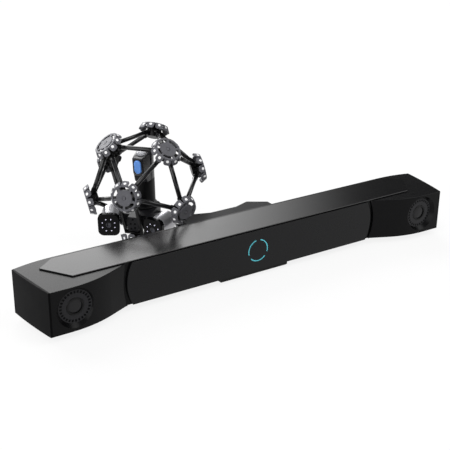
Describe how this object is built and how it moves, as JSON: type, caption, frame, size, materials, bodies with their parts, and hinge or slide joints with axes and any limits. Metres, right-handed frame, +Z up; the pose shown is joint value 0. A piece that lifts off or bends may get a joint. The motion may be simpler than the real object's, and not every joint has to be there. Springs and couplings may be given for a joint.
{
  "type": "tracked laser scanner set",
  "caption": "Hand-held laser scanner in a cage of reflective markers, with the long optical tracker bar that follows it.",
  "frame": {"origin": "middle of the mouth of the tripod thread, on the underside of the tracker's mount block, at floor height", "axes": "+X along the tracker bar to its right end as seen from the front, -Y is where the tracker looks, +Z up"},
  "size_m": [1.036, 0.4926, 0.2675],
  "materials": {
    "black_anodised": "satin black, fine grained coat",
    "end_cap_black": "satin moulded plastic",
    "front_panel_black": "satin to gloss dark plastic",
    "top_plate_black": "smooth satin black",
    "window_dark": "smooth dark filter plastic",
    "emitter": "clear-topped infrared emitters",
    "lens_ring_black": "black anodised",
    "lens_glass": "coated lens glass",
    "barrel_black": "black anodised",
    "board_green": "circuit board",
    "beam_aluminium": "milled",
    "status_light": "translucent light guide",
    "pod_plastic": "fine texture",
    "socket_black": "moulded",
    "button_grey": "satin",
    "mount_black": "black anodised",
    "insert_brass": "turned",
    "screw_steel": "zinc plated",
    "hub_grey": "satin grey moulding",
    "reflective_dot": "white reflective film",
    "core_black": "satin moulded black",
    "carbon_tube": "clear coated carbon fibre tube",
    "head_black": "gloss black",
    "pipe_silver": "polished silver",
    "scan_lens": "dark lens",
    "scan_led": "bright white emitters",
    "module_grey": "dark grey moulding",
    "laser_window": "dark window",
    "grip_black": "soft-touch",
    "handle_head_grey": "satin dark grey",
    "trigger_blue": "satin light blue",
    "key_grey": "glossy light grey",
    "pad_rubber": "matte"
  },
  "bodies": {
    "tracker": {"bar_housing": "black_anodised", "base_cover": "black_anodised", "camera_leds": "emitter", "camera_window_left": "window_dark", "camera_window_right": "window_dark", "cover_screws": "screw_steel", "data_socket": "socket_black", "end_cap_left": "end_cap_black", "end_cap_right": "end_cap_black", "front_panel": "front_panel_black", "lens_barrel_left": "barrel_black", "lens_barrel_right": "barrel_black", "lens_glass_left": "lens_glass", "lens_glass_right": "lens_glass", "lens_ring_left": "lens_ring_black", "lens_ring_right": "lens_ring_black", "main_board": "board_green", "mount_block": "mount_black", "mount_screws": "screw_steel", "optics_beam": "beam_aluminium", "power_socket": "socket_black", "rear_pod": "pod_plastic", "sensor_boards": "board_green", "status_light_arcs": "status_light", "thread_insert": "insert_brass", "top_plate": "top_plate_black"},
    "scanner": {"cage_rods_lower": "carbon_tube", "cage_rods_upper": "carbon_tube", "camera_head_left": "head_black", "camera_head_right": "head_black", "front_frame": "core_black", "handle_grip": "grip_black", "handle_head": "handle_head_grey", "head_pipe_left": "pipe_silver", "head_pipe_right": "pipe_silver", "hub_cores": "core_black", "laser_module": "module_grey", "laser_windows": "laser_window", "marker_dots": "reflective_dot", "marker_hub_01": "hub_grey", "marker_hub_02": "hub_grey", "marker_hub_03": "hub_grey", "marker_hub_04": "hub_grey", "marker_hub_05": "hub_grey", "marker_hub_06": "hub_grey", "marker_hub_07": "hub_grey", "marker_hub_08": "hub_grey", "marker_hub_09": "hub_grey", "marker_hub_10": "hub_grey", "marker_hub_11": "hub_grey", "rest_pads": "pad_rubber", "scan_leds": "scan_led", "scan_lenses": "scan_lens", "scanner_board": "board_green", "scanner_chassis": "module_grey", "scanner_socket": "module_grey"},
    "trigger": {"trigger": "trigger_blue"},
    "function_key": {"function_key": "key_grey"},
    "power_button": {"power_button": "button_grey"}
  },
  "joints": [
    {"name": "scanner_lift", "type": "slide", "parent": "tracker", "child": "scanner", "axis": [0, 0, 1], "range_m": [0, 0.4]},
    {"name": "trigger_press", "type": "slide", "parent": "scanner", "child": "trigger", "axis": [0.7278, 0.6599, 0.1866], "range_m": [0, 0.003], "stiffness_N_per_m": 1000, "springref_m": -0.001},
    {"name": "function_key_press", "type": "slide", "parent": "scanner", "child": "function_key", "axis": [0.0517, 0.0469, -0.9976], "range_m": [0, 0.0012], "stiffness_N_per_m": 1500, "springref_m": -0.001},
    {"name": "power_button_press", "type": "slide", "parent": "tracker", "child": "power_button", "axis": [0, -1, 0], "range_m": [0, 0.001], "stiffness_N_per_m": 1500, "springref_m": -0.001}
  ]
}
